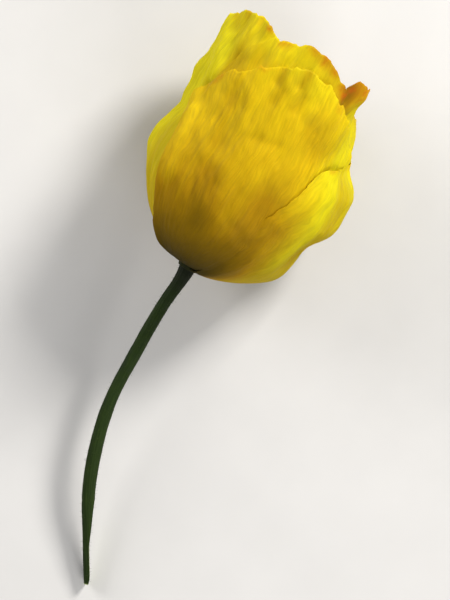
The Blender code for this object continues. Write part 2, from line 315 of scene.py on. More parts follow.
class TreeMaker:
    """Adds nodes to a shader or geometry tree and wires them by socket name or number.

    Attributes:
        tree: The tree under construction.
    """

    def __init__(self, tree: bpy.types.NodeTree) -> None:
        """Starts on a tree."""
        self.tree = tree

    def feed(self, node: bpy.types.Node, values: Feed) -> None:
        """Fills a node's inputs.

        Args:
            node: The node.
            values: Plain values or output sockets, by the input's name or number.
        """
        for key, value in values.items():
            if isinstance(value, Socket):
                self.tree.links.new(value, node.inputs[key])
            else:
                node.inputs[key].default_value = value

    def add(self, kind: str, values: Feed | None = None, **settings: object) -> bpy.types.Node:
        """Adds a node.

        Args:
            kind: The node's type.
            values: What its inputs get.
            **settings: The node's own properties.

        Returns:
            The node.
        """
        node = self.tree.nodes.new(kind)
        for name, value in settings.items():
            setattr(node, name, value)
        self.feed(node, values or {})
        return node

    def out(self, kind: str, values: Feed | None = None, **settings: object) -> Socket:
        """The first output of a new node."""
        return self.add(kind, values, **settings).outputs[0]

    def math(self, operation: str, *values: object) -> Socket:
        """The result of a math node on two or three values or sockets."""
        return self.out("ShaderNodeMath", dict(enumerate(values)), operation=operation)

    def times(self, first: object, second: object) -> Socket:
        """The product of two values or sockets."""
        return self.math("MULTIPLY", first, second)

    def scaled(self, value: Socket, factor: object, more: object) -> Socket:
        """A value times a factor, and more added."""
        return self.math("MULTIPLY_ADD", value, factor, more)

    def vector(self, x: object = 0.0, y: object = 0.0, z: object = 0.0) -> Socket:
        """A vector of three values or sockets."""
        return self.out("ShaderNodeCombineXYZ", {0: x, 1: y, 2: z})

    def blend(self, factor: object, low: object, high: object, kind: str = "MIX") -> Socket:
        """A colour that is low where the factor is 0 and high where it is 1."""
        mixed = {0: factor, 6: low, 7: high}
        return self.add("ShaderNodeMix", mixed, data_type="RGBA", blend_type=kind).outputs[2]

    def part(self, value: Socket, low: object, high: object) -> Socket:
        """The share, 0 to 1, of the way from low to high."""
        return self.out("ShaderNodeMapRange", {0: value, 1: low, 2: high})

    def painted(self, name: str) -> Socket:
        """The values painted on the piece under a name."""
        return self.add("ShaderNodeAttribute", attribute_name=name).outputs["Fac"]

    def mask(self, group: bpy.types.NodeTree, **values: object) -> Socket:
        """The mask that a placed group gives for its named inputs."""
        return self.out("ShaderNodeGroup", values, node_tree=group)


class GroupMaker(TreeMaker):
    """Makes a node group with named inputs and one output.

    Attributes:
        given: The group's inputs, by name.
    """

    def __init__(self, name: str, inputs: dict[str, Wire | float], output: str, carried: Wire) -> None:
        """Starts a group.

        Args:
            name: The group's name.
            inputs: What each input carries, or a number's first value.
            output: The output's name.
            carried: What the output carries.
        """
        kind = "GeometryNodeTree" if carried is Wire.SHAPE else "ShaderNodeTree"
        super().__init__(bpy.data.node_groups.new(name, kind))
        for label, wire in inputs.items():
            usual = Wire.NUMBER if isinstance(wire, float) else wire
            socket = self.tree.interface.new_socket(label, in_out="INPUT", socket_type=usual.value)
            if isinstance(wire, float):
                socket.default_value = wire
        self.tree.interface.new_socket(output, in_out="OUTPUT", socket_type=carried.value)
        self.given = self.add("NodeGroupInput").outputs

    def close(self, result: Socket) -> bpy.types.NodeTree:
        """Gives the group its result and hands back the finished tree."""
        self.add("NodeGroupOutput", {0: result})
        return self.tree

    def chance(self, low: float, high: float, seed: object = 0) -> Socket:
        """A seeded random number between low and high for each copy."""
        limits = {2: low, 3: high, "Seed": seed}
        return self.add("FunctionNodeRandomValue", limits, data_type="FLOAT").outputs[1]

    def moved(self, shape: Socket, **change: Socket) -> Socket:
        """A shape after a Translation, Rotation or Scale."""
        return self.out("GeometryNodeTransform", {"Geometry": shape, **change})

    def joined(self, *shapes: Socket) -> Socket:
        """Joins shapes.

        Args:
            *shapes: The shapes, in order.

        Returns:
            The shapes as one.
        """
        join = self.add("GeometryNodeJoinGeometry")
        for shape in shapes:
            self.tree.links.new(shape, join.inputs[0])
        return join.outputs[0]

    def ring_turn(self) -> Socket:
        """Each copy's turn where Count copies share a full ring evenly."""
        step = self.math("DIVIDE", 2.0 * math.pi, self.given["Count"])
        return self.times(self.out("GeometryNodeInputIndex"), step)

    def copies(self, points: Socket, shape: Socket, finish: Socket, **change: Socket) -> Socket:
        """Plain dressed copies of a shape.

        Args:
            points: Where the copies go.
            shape: What is copied.
            finish: The copies' material.
            **change: Their Rotation and Scale.

        Returns:
            The copies as real geometry.
        """
        placed = self.out("GeometryNodeInstanceOnPoints", {"Points": points, "Instance": shape, **change})
        return self.dressed(self.out("GeometryNodeRealizeInstances", {0: placed}), finish)

    def dressed(self, shape: Socket, finish: Socket, **where: Socket) -> Socket:
        """A shape in a material, all over or where the Selection says."""
        return self.out("GeometryNodeSetMaterial", {"Geometry": shape, "Material": finish, **where})


def streak_group() -> bpy.types.NodeTree:
    """A group that draws long fibres along a piece's own map.

    Returns:
        The group: Map, Across and Along in, a Mask between 0 and 1 out.
    """
    maker = GroupMaker("long_fibres", {"Map": Wire.VECTOR, "Across": 60.0, "Along": 3.0}, "Mask", Wire.NUMBER)
    given = maker.given
    across, along, level = maker.add("ShaderNodeSeparateXYZ", {0: given["Map"]}).outputs
    wander = maker.out("ShaderNodeTexNoise", {"Vector": given["Map"], "Scale": 9.0, "Detail": 2.0})
    wavy = maker.math("ADD", across, maker.scaled(wander, 0.05, -0.025))
    stretched = maker.vector(maker.times(wavy, given["Across"]), maker.times(along, given["Along"]), level)
    noise = maker.out("ShaderNodeTexNoise", {
        "Vector": stretched, "Scale": 1.0, "Detail": 3.0, "Roughness": 0.6,
    })
    return maker.close(maker.part(noise, 0.28, 0.72))


def mottle_group() -> bpy.types.NodeTree:
    """A group that draws soft blotches in the piece's own space.

    Returns:
        The group: Scale, Low and High in, a Mask between 0 and 1 out.
    """
    maker = GroupMaker("soft_blotches", {"Scale": 200.0, "Low": 0.35, "High": 0.65}, "Mask", Wire.NUMBER)
    given = maker.given
    place = maker.add("ShaderNodeTexCoord").outputs["Object"]
    noise = maker.out("ShaderNodeTexNoise", {"Vector": place, "Scale": given["Scale"], "Detail": 4.0})
    return maker.close(maker.part(noise, given["Low"], given["High"]))


STREAKS = streak_group()
BLOTCHES = mottle_group()


# ---------------------------------------------------------------- finishes


def opaque(colour: Colour) -> tuple[float, float, float, float]:
    """A colour with full alpha."""
    return (*colour, 1.0)


def start_material(name: str) -> tuple[bpy.types.Material, TreeMaker, bpy.types.Node]:
    """Starts a material.

    Args:
        name: The material's name.

    Returns:
        The material, a maker on its tree, and its Principled shader.
    """
    material = bpy.data.materials.new(name)
    material.use_nodes = True
    return material, TreeMaker(material.node_tree), material.node_tree.nodes["Principled BSDF"]


@dataclass(frozen=True)
class PetalFinish:
    """Thin crinkled silk: yellow, browner and darker toward the claw, partly its own colour and partly
    painted shade deep in the cup, with dried orange flecks on the rim.

    Attributes:
        name: The material's name.
        claw: Colour at the claw: near black, painted shade deep in the cup over the silk's own dark base.
        flush_shade_colour: Colour of the lower part: the silk's own brown tone with painted shade over it.
        body: Colour of the middle.
        crown: Colour toward the rim.
        lemon: Colour of the cooler flanks and crests: the silk's own lemon tone, partly painted light where
            those faces are lit.
        fleck: Colour of the dried flecks.
        through: How much light passes through.
        roughness: The surface's roughness between fibres.
        gloss: Specular level.
        vein_depth: Height of the fine veins.
    """

    name: str
    claw: Colour = (0.060, 0.042, 0.001)
    flush_shade_colour: Colour = (0.50, 0.275, 0.001)
    body: Colour = (0.80, 0.54, 0.002)
    crown: Colour = (0.86, 0.65, 0.006)
    lemon: Colour = (0.78, 0.69, 0.008)
    fleck: Colour = (0.52, 0.12, 0.004)
    through: float = 0.42
    roughness: float = 0.55
    gloss: float = 0.10
    vein_depth: float = 0.26 * MM

    def colour(self, maker: TreeMaker, tall: Socket, broad: Socket, fine: Socket) -> Socket:
        """The silk's colour.

        Args:
            maker: The maker on the material's tree.
            tall: Place along the petal.
            broad: Mask of the broad streaks.
            fine: Mask of the fine veins.

        Returns:
            The colour, from the petal's painted values: its brown tone with painted shade, its lemon tone
            with painted light, and its dried rim.
        """
        flush_and_shade = maker.painted("flush_and_shade")
        blotch = maker.mask(BLOTCHES, Scale=150.0, Low=0.35, High=0.70)
        specks = maker.mask(BLOTCHES, Scale=420.0, Low=0.50, High=0.62)
        base = maker.blend(tall, opaque(self.body), opaque(self.crown))
        # Lemon tone on the flanks and crests, partly painted light.
        base = maker.blend(maker.painted("lemon_and_light"), base, opaque(self.lemon))
        # Painted shade: the lower part and the dents of the folds turn brown and darker over the silk's own
        # brown tone, and the claw goes near black.
        flush_shade_share = maker.scaled(broad, 0.22, flush_and_shade)
        base = maker.blend(maker.part(flush_shade_share, 0.10, 0.95), base, opaque(self.flush_shade_colour))
        base = maker.blend(maker.part(flush_and_shade, 0.80, 1.45), base, opaque(self.claw))
        # Darker along the fine vein grooves and lighter on their crests, painted shade that follows the bump,
        # times random blotches of tone.
        shade = maker.times(maker.scaled(fine, 0.22, 0.84), maker.scaled(blotch, 0.10, 0.93))
        grey = maker.out("ShaderNodeCombineColor", {0: shade, 1: shade, 2: shade})
        base = maker.blend(1.0, base, grey, "MULTIPLY")
        dried = maker.times(maker.scaled(specks, 0.45, 0.30), maker.part(maker.painted("rim"), 0.20, 0.80))
        return maker.blend(dried, base, opaque(self.fleck))

    def make(self) -> bpy.types.Material:
        """Builds the material.

        Returns:
            The material, which reads the petal's own map and its painted values.
        """
        material, maker, surface = start_material(self.name)
        own_map = maker.out("ShaderNodeUVMap", uv_map=OWN_MAP)
        tall = maker.add("ShaderNodeSeparateXYZ", {0: own_map}).outputs[1]
        broad = maker.mask(STREAKS, Map=own_map, Across=18.0, Along=3.2)
        fine = maker.mask(STREAKS, Map=own_map, Across=120.0, Along=8.0)
        base = self.colour(maker, tall, broad, fine)
        height = maker.math("ADD", maker.times(fine, 0.35), broad)
        veins = maker.out("ShaderNodeBump", {"Strength": 0.55, "Distance": self.vein_depth, "Height": height})
        maker.feed(surface, {
            "Base Color": base, "Roughness": maker.scaled(fine, 0.14, self.roughness), "Normal": veins,
            "Specular IOR Level": self.gloss,
        })
        glow = maker.out("ShaderNodeBsdfTranslucent", {"Color": base, "Normal": veins})
        both = maker.out("ShaderNodeMixShader", {0: self.through, 1: surface.outputs[0], 2: glow})
        maker.feed(maker.tree.nodes["Material Output"], {"Surface": both})
        return material


class Tissue(Enum):
    """Which plant tissue a plain finish is for."""

    STEM = "stem"
    RECEPTACLE = "receptacle"
    CAPSULE = "capsule"
    STIGMA = "stigma"
    FILAMENT = "filament"
    ANTHER = "anther"
    HAIR = "hair"


@dataclass(frozen=True)
class TissueFinish:
    """A solid plant tissue with mottling and fine grain.

    Attributes:
        tissue: What it is for.
        dark: Colour in the hollows.
        light: Colour on the raised parts.
        roughness: Its roughness.
        grain: Size of the grain's cells, per metre.
        relief: Depth of the grain.
        fibres: Fibres across its own map, 0 where it has no map.
        painted: Colours over its painted values, as (name of the values, colour).
        gloss: Specular level.
    """

    tissue: Tissue
    dark: Colour
    light: Colour
    roughness: float = 0.6
    grain: float = 900.0
    relief: float = 0.0001
    fibres: float = 0.0
    painted: tuple[tuple[str, Colour], ...] = ()
    gloss: float = 0.12

    def make(self) -> bpy.types.Material:
        """Builds the material.

        Returns:
            The material, which reads the piece's own space, and its map and painted values where it has them.
        """
        material, maker, surface = start_material(f"poppy_{self.tissue.value}")
        grain = maker.mask(BLOTCHES, Scale=self.grain)
        mixed = maker.scaled(grain, 0.35, maker.times(maker.mask(BLOTCHES, Scale=self.grain / 6.0), 0.55))
        if self.fibres:
            own_map = maker.out("ShaderNodeUVMap", uv_map=OWN_MAP)
            fibres = maker.mask(STREAKS, Map=own_map, Across=self.fibres, Along=14.0)
            mixed = maker.scaled(fibres, 0.6, maker.times(mixed, 0.45))
        base = maker.blend(mixed, opaque(self.dark), opaque(self.light))
        for values, colour in self.painted:
            base = maker.blend(maker.painted(values), base, opaque(colour))
        crease = maker.out("ShaderNodeBump", {"Strength": 0.5, "Distance": self.relief, "Height": mixed})
        maker.feed(surface, {
            "Base Color": base, "Roughness": maker.scaled(grain, 0.15, self.roughness), "Normal": crease,
            "Specular IOR Level": self.gloss,
        })
        return material


TISSUES = {
    finish.tissue: finish for finish in (
        TissueFinish(
            Tissue.STEM, (0.005, 0.013, 0.001), (0.016, 0.031, 0.003), 0.62, 700.0, 0.00015, 22.0,
            # The stem's top is painted near black: painted shade under the head.
            (("pith", (0.30, 0.36, 0.14)), ("top_shade", (0.004, 0.006, 0.001))),
        ),
        TissueFinish(Tissue.RECEPTACLE, (0.006, 0.008, 0.001), (0.020, 0.022, 0.003), 0.7),
        TissueFinish(Tissue.CAPSULE, (0.09, 0.16, 0.03), (0.24, 0.34, 0.10), 0.65, 1400.0),
        TissueFinish(Tissue.STIGMA, (0.32, 0.34, 0.07), (0.62, 0.62, 0.20), 0.8, 2600.0, 0.0002),
        TissueFinish(Tissue.FILAMENT, (0.55, 0.42, 0.05), (0.80, 0.68, 0.16), 0.5),
        TissueFinish(Tissue.ANTHER, (0.60, 0.34, 0.01), (0.86, 0.60, 0.05), 0.9, 4200.0, 0.0002),
        TissueFinish(Tissue.HAIR, (0.03, 0.05, 0.01), (0.08, 0.10, 0.03), 0.6),
    )
}


# ---------------------------------------------------------------- the cup and its petals


MM_PER_DEGREE = 0.33
GROWN = (3.0, 15.0)
OUTER_LAYER = 3
TABLE_GAP = 0.03 * MM
# Brown tone and painted shade at each height in millimetres: strongest at the claw, deep in the cup, gone by
# the rim.
FLUSH_SHADE_BY_HEIGHT = ((0, 1.5), (6, 1.25), (12, 0.92), (20, 0.70), (26, 0.50), (34, 0.26), (62, 0.0))


@dataclass(frozen=True)
class Crease:
    """A soft straight fold in a petal, between two places on the opened-out cup.

    Attributes:
        start: (angle in degrees, height in millimetres) of one end.
        end: The same for the other end.
        width: How far it reaches to each side, in millimetres.
        depth: How far it stands out, in millimetres. Below 0 it goes in.
    """

    start: tuple[float, float]
    end: tuple[float, float]
    width: float
    depth: float

    def relief(self, degrees: Grid, tall: Grid) -> Grid:
        """How far the petal stands out because of the fold.

        Args:
            degrees: Angles round the head.
            tall: Heights, in millimetres.

        Returns:
            The fold's depth, in millimetres.
        """
        start = np.array((self.start[0] * MM_PER_DEGREE, self.start[1]))
        line = np.array((self.end[0] * MM_PER_DEGREE, self.end[1])) - start
        x, y = degrees * MM_PER_DEGREE - start[0], tall - start[1]
        along = np.clip((x * line[0] + y * line[1]) / max(line @ line, 0.01), 0.0, 1.0)
        away = (x - along * line[0]) ** 2 + (y - along * line[1]) ** 2
        return self.depth * np.exp(-away / self.width**2)


@dataclass
class Cup:
    """The cup that the petals make: a turned wall with soft waves round it.

    Attributes:
        outline: (height, radius) of the wall, in millimetres.
        inner_claw: Radius where the innermost petal starts.
        claw_step: How much closer to the axis each further layer starts.
        layer_pitch: Distance between layers.
        claw_pitch: The same at the claws.
        creases: Folds that go through every layer.
        wall: The wall's finely sampled heights and radii.
        steps: Place of each sample along the wall, 0 to 1.
    """

    outline: Pairs = (
        (0.8, 2.1), (1.5, 6.1), (4.0, 11.0), (8.6, 15.6), (15.0, 18.9),
        (23.0, 19.6), (34.0, 18.5), (46.0, 17.9), (62.0, 17.0),
    )
    inner_claw: float = 2.85 * MM
    claw_step: float = 0.20 * MM
    layer_pitch: float = 0.80 * MM
    claw_pitch: float = 0.62 * MM
    creases: tuple[Crease, ...] = (
        Crease((24, 22), (34, 18), 3.4, -0.50), Crease((29, 40), (35, 37), 3.2, -0.60),
        Crease((-5, 33.0), (12, 34.5), 1.1, -0.18), Crease((-27, 38), (-21, 29), 2.4, -0.45),
        Crease((-17, 22), (-9, 12), 2.4, -0.45), Crease((-49, 31), (-41, 18), 2.0, 0.75),
        Crease((8, 12), (10, 27), 1.7, 0.35), Crease((-37, 43), (-33, 33), 1.6, -0.25),
        Crease((44, 33), (30, 17), 2.2, 0.30), Crease((60, 50), (50, 38), 2.0, -0.25),
        Crease((-56, 37), (-41, 46), 1.7, -0.50), Crease((-64, 41), (-52, 50), 1.8, 0.40),
    )
    wall: Grid = field(init=False)
    steps: Grid = field(init=False)

    def __post_init__(self) -> None:
        """Samples the wall."""
        self.wall = curve_through(np.array(self.outline) * MM, 400)
        self.steps = np.linspace(0.0, 1.0, len(self.wall))

    def place_at(self, height: Grid) -> Grid:
        """Place along the wall where it reaches a height."""
        return np.interp(height, self.wall[:, 0], self.steps)

    def claw(self, layer: int) -> float:
        """Place along the wall where a layer's petal starts."""
        near = slice(0, len(self.steps) // 4)
        return np.interp(self.inner_claw - layer * self.claw_step, self.wall[near, 1], self.steps[near])

    def height(self, place: Grid) -> Grid:
        """Height at a place along the wall."""
        return np.interp(place, self.steps, self.wall[:, 0])

    def pitch(self, place: Grid) -> Grid:
        """Distance between layers at a place along the wall."""
        return self.claw_pitch + (self.layer_pitch - self.claw_pitch) * ramp(place, 0.05, 0.22)

    def creased(self, degrees: Grid, tall: Grid) -> Grid:
        """Depth of the folds that go through every layer, in millimetres."""
        return sum(crease.relief(degrees, tall) for crease in self.creases)

    def relief(self, angle: Grid, tall: Grid) -> Grid:
        """Folds and crumple that every layer follows.

        Args:
            angle: Angles round the head.
            tall: Heights, in millimetres.

        Returns:
            How far the silk stands out, in millimetres.
        """
        degrees = np.degrees(angle)
        across = degrees * MM_PER_DEGREE
        folds = 0.30 * ripple(degrees / 11.0, tall / 21.0, 3) + 0.14 * ripple(degrees / 4.6, tall / 12.0, 4)
        crumple = 0.15 * ripple(across / 3.1, tall / 3.7, 5)
        crumple = crumple + 0.09 * ripple(across / 1.5 + 0.2 * tall, tall / 2.1, 6)
        return (folds + crumple) * ramp(tall, *GROWN) + self.creased(degrees, tall)

    def point(self, place: Grid, angle: Grid) -> Grid:
        """The wall in head coordinates.

        Args:
            place: Places along the wall.
            angle: Angles round the axis, 0 on the upper side.

        Returns:
            Points as (up, side, along).
        """
        height = self.height(place)
        radius = np.interp(place, self.steps, self.wall[:, 1])
        grown = ramp(height, 5 * MM, 40 * MM)
        radius = radius * (1.0 - 0.14 * bump(angle, 180, 58) * ramp(height, 1 * MM, 7 * MM))
        radius = radius + grown * MM * (0.35 * np.sin(3 * angle + 0.5) + 0.22 * np.sin(5 * angle - 1.0))
        radius = radius - 2.4 * MM * bump(angle, 80, 42) * ramp(height, 36 * MM, 50 * MM)
        radius = radius + 1.3 * MM * bump(angle, -90, 45) * ramp(height, 30 * MM, 44 * MM)
        radius = radius + 0.9 * MM * bump(angle, -90, 40) * hump(height, 20 * MM, 7 * MM)
        radius = radius - 0.5 * MM * bump(angle, -90, 45) * hump(height, 29 * MM, 4 * MM)
        return np.stack((radius * np.cos(angle), radius * np.sin(angle), height), axis=-1)

    def normal(self, place: Grid, angle: Grid) -> Grid:
        """Which way the wall faces.

        Args:
            place: Places along the wall.
            angle: Angles round the axis.

        Returns:
            Unit normals, pointing out of the cup.
        """
        step = 0.002
        place = np.clip(place, 2 * step, 1 - 2 * step)
        rise = self.point(place + step, angle) - self.point(place - step, angle)
        turn = self.point(place, angle + step) - self.point(place, angle - step)
        normal = np.cross(turn, rise)
        return normal / np.linalg.norm(normal, axis=-1, keepdims=True)


CUP = Cup()


@dataclass(frozen=True)
class Petal:
    """One petal: a thin silk sheet on its own layer of the cup.

    Attributes:
        name: The piece's name, which is also its CAD node's.
        layer: 0 innermost to 3 outermost.
        left: (share of length, angle) along the left margin.
        right: The same along the right margin.
        side_heights: Height of the edge at both margins, in millimetres.
        rim: (angle, height) along the edge, in millimetres.
        creases: Folds of its own.
        flares: (angle, width in degrees, millimetres) of places where the edge turns outward.
        spots: (angle, height, radius in millimetres) of dried places on the edge.
        press: How far the left and right margins hug the petal inside, in millimetres.
        flank: Where its lemon flanks, partly painted light and with less painted shade, start and are full,
            in degrees from its upper side.
        lift: How far the rim turns outward all along, in millimetres.
        seed: Which crumple it has.
        crumple: Depth of the small crumple, in millimetres.
        ruffle: How far the edge waves in and out, in millimetres.
        frill: How far the edge is notched, in millimetres.
        margin: How far the side margins wander, in degrees.
        columns: Grid columns.
        rows: Grid rows.
    """

    name: str
    layer: int
    left: Pairs
    right: Pairs
    side_heights: tuple[float, float]
    rim: Pairs
    creases: tuple[Crease, ...] = ()
    flares: tuple[Place, ...] = ()
    spots: tuple[Place, ...] = ()
    press: tuple[float, float] = (0.0, 0.0)
    flank: tuple[float, float] = (40.0, 72.0)
    lift: float = 0.0
    seed: int = 0
    crumple: float = 0.12
    ruffle: float = 0.45
    frill: float = 0.6
    margin: float = 0.9
    columns: int = 260
    rows: int = 130

    def angle(self, across: Grid, share: Grid) -> Grid:
        """Angles round the head.

        Args:
            across: Places across the petal, -1 to 1.
            share: Places along it, 0 to 1.

        Returns:
            The angles, with margins that wander a little.
        """
        left = np.interp(share, *zip(*self.left))
        right = np.interp(share, *zip(*self.right))
        edge = np.abs(across) ** 8 * ramp(share, 0.15, 0.4)
        hand = np.sign(across)
        wander = ripple(share * 9.0, hand, self.seed + 21) + 0.6 * ripple(share * 27.0, hand, self.seed)
        return np.radians(left + (right - left) * (across + 1.0) / 2.0 + self.margin * edge * wander)

    def rim_height(self, across: Grid) -> Grid:
        """Height of the frilled edge.

        Args:
            across: Places across the petal, -1 to 1.

        Returns:
            The heights, rounded down to the side heights at both margins.
        """
        degrees = np.degrees(self.angle(across, np.ones_like(across)))
        wave = ripple(degrees / 5.5, 0.0, self.seed + 5) + 0.5 * ripple(degrees / 1.9, 0.0, self.seed + 6)
        notch = np.maximum(ripple(degrees / 3.1, 0.5, self.seed + 7) - 0.45, 0.0)
        crown = np.interp(degrees, *zip(*self.rim)) + self.frill * (0.6 * wave - 2.0 * notch)
        side = np.where(across < 0, *self.side_heights)
        rounded = np.sqrt(np.clip(1.0 - np.abs(across) ** 7, 0.0, 1.0))
        return (side + (crown - side) * rounded) * MM

    def swelling(self, angle: Grid, height: Grid) -> Grid:
        """How far the petal stands off its own layer."""
        return np.zeros_like(angle)

    def flutter(self, wave: Grid) -> Grid:
        """How the free edge takes a wave between -1 and 1."""
        return wave

    def creased(self, degrees: Grid, tall: Grid) -> Grid:
        """Depth of the petal's own folds, in millimetres."""
        return sum((crease.relief(degrees, tall) for crease in self.creases), np.zeros_like(degrees))

    def relief(self, across: Grid, angle: Grid, height: Grid, share: Grid) -> Grid:
        """Folds, pleats, crumple and edge waves.

        Args:
            across: Places across, -1 to 1.
            angle: Angles round the head.
            height: Heights above the head's base.
            share: Share of the petal's length.

        Returns:
            How far the silk stands out of its smooth shape.
        """
        degrees, tall = np.degrees(angle), height / MM
        lean = 1.3 * ripple(degrees / 16.0, tall / 11.0, self.seed + 8)
        patch = 0.45 + 0.85 * ramp(ripple(degrees / 13.0, tall / 10.0, self.seed + 14), -0.3, 0.5)
        pleats = 0.17 * ripple(degrees / 2.3 + lean, tall / 6.5, self.seed + 9)
        pleats = patch * (pleats + 0.08 * ripple(degrees / 1.1 + lean, tall / 4.0, self.seed + 10))
        small = self.crumple * ripple(degrees * MM_PER_DEGREE / 4.0 + lean, tall / 5.0, self.seed + 11)
        wave = self.ruffle * self.flutter(ripple(degrees / 6.0, tall / 9.0, self.seed + 12))
        flared = sum(out * bump(angle, middle, width) for middle, width, out in self.flares)
        own = self.creased(degrees, tall) + ramp(tall, *GROWN) * (pleats + small)
        own = own + ramp(share, 0.82, 1.0) * wave + ramp(share, 0.84, 1.0) * flared
        hug = np.where(across < 0, *self.press) * ramp(np.abs(across), 0.86, 1.0) * ramp(tall, 0.5, 4.0)
        lifted = self.lift * ramp(share, 0.86, 1.0)
        return MM * (CUP.relief(angle, tall) + own + lifted - hug)

    def surface(self, across: Grid, share: Grid, thickness: float) -> tuple[Grid, Grid, Grid]:
        """The petal's middle surface.

        Args:
            across: Places across, -1 to 1.
            share: Places along, 0 to 1.
            thickness: The silk's thickness.

        Returns:
            World places, angles and heights.
        """
        angle = self.angle(across, share)
        claw = CUP.claw(self.layer)
        place = claw + share * (CUP.place_at(self.rim_height(across)) - claw)
        height = CUP.height(place)
        offset = self.layer * CUP.pitch(place) + self.swelling(angle, height)
        offset = offset + self.relief(across, angle, height, share)
        world = HEAD.world(CUP.point(place, angle) + CUP.normal(place, angle) * offset[..., None])
        lowest = thickness / 2 + TABLE_GAP + (OUTER_LAYER - self.layer) * CUP.layer_pitch
        above = world[..., 2] - lowest
        softness = 0.35 * MM if self.layer == OUTER_LAYER else 0.8 * MM
        world[..., 2] = lowest + 0.5 * (above + np.sqrt(above**2 + softness**2))
        return world, angle, height

    def paint(self, mesh: bpy.types.Mesh, degrees: Grid, tall: Grid, share: Grid) -> None:
        """Stores the silk's brown tone with painted shade, its lemon tone with painted light, and how dried
        it is.

        Args:
            mesh: The petal's mesh.
            degrees: Angles round the head.
            tall: Heights, in millimetres.
            share: Places along the petal.
        """
        # Painted shade and highlight: browner and darker low in the cup and in the dents of the folds,
        # lighter on raised folds and on the flanks, over the silk's own brown tone low down.
        folds = np.clip(CUP.creased(degrees, tall) + self.creased(degrees, tall), -0.8, 0.5)
        flank = ramp(np.abs(degrees + 8.0), *self.flank)
        flush_shade_level = np.interp(tall, *zip(*FLUSH_SHADE_BY_HEIGHT))
        flush_shade_level = flush_shade_level * (1.0 - 0.60 * flank) - 0.45 * folds * ramp(tall, 6.0, 14.0)
        patch = ramp(ripple(degrees / 9.0, tall / 6.0, self.seed + 13), 0.05, 0.55)
        dried = 0.6 * ramp(share, 0.93, 1.0) * patch
        for middle, high, reach in self.spots:
            away = ((degrees - middle) * MM_PER_DEGREE) ** 2 + (tall - high) ** 2
            dried = np.maximum(dried, np.exp(-away / reach**2))
            flush_shade_level = flush_shade_level + 0.35 * np.exp(-away / (1.4 * reach) ** 2)
        set_values(mesh, "flush_and_shade", flush_shade_level)
        # Lemon tone, partly painted light, on the flanks and toward the rim.
        set_values(mesh, "lemon_and_light", np.maximum(flank, 0.7 * ramp(tall, 42.0, 54.0)))
        set_values(mesh, "rim", dried)

    def build(self, thickness: float) -> bpy.types.Object:
        """Builds the petal as a sheet that its finishing modifier makes solid.

        Args:
            thickness: The silk's thickness.

        Returns:
            The petal.
        """
        crowd = math.radians(62.0)
        across, share = np.meshgrid(np.linspace(-1, 1, self.columns), np.linspace(0, 1, self.rows))
        across = np.sin(across * crowd) / math.sin(crowd)
        world, angle, height = self.surface(across, share, thickness)
        mesh = grid_mesh(f"{self.name}_silk", world)
        set_uv(mesh, (across + 1.0) / 2.0, share)
        self.paint(mesh, np.degrees(angle), height / MM, share)
        piece = add_piece(f"{self.name}_silk", mesh)
        wall = piece.modifiers.new("silk thickness", "SOLIDIFY")
        wall.thickness = thickness
        wall.offset = 0.0
        return piece


@dataclass(frozen=True)
class BackPetal(Petal):
    """The petal that the head lies on: it bulges at the side and its rim opens to the table."""

    def swelling(self, angle: Grid, height: Grid) -> Grid:
        """Adds the side's belly, the opened foot, the keel under it and the waist between them.

        Args:
            angle: Angles round the head.
            height: Heights above the head's base.

        Returns:
            How far the petal stands off its own layer.
        """
        belly = ramp(height, 14 * MM, 22 * MM) * (1.0 - ramp(height, 28 * MM, 36 * MM))
        foot = bump(angle, 178, 60) * ramp(height, 12 * MM, 34 * MM)
        keel = 1.2 * bump(angle, 98, 42) * hump(height, 8.5 * MM, 3.4 * MM)
        waist = -1.5 * bump(angle, 98, 26) * hump(height, 17.0 * MM, 3.6 * MM)
        return MM * (2.8 * bump(angle, 92, 50) * belly + 4.4 * foot + keel + waist)

    def flutter(self, wave: Grid) -> Grid:
        """Lets the edge wave outward more than inward."""
        return np.maximum(wave, -0.4)


@dataclass(frozen=True)
class FrontPetal(Petal):
    """The upper outer petal: its rim is puffed out in a few soft pleats."""

    def swelling(self, angle: Grid, height: Grid) -> Grid:
        """Adds the puffed rim."""
        puff = 0.5 + 0.5 * np.cos(13.0 * angle + 0.7)
        return 0.5 * MM * puff * ramp(height, 40 * MM, 52 * MM)

    def flutter(self, wave: Grid) -> Grid:
        """Lets the edge wave outward only, off the petals inside it."""
        return np.maximum(wave, -0.1) * 1.2


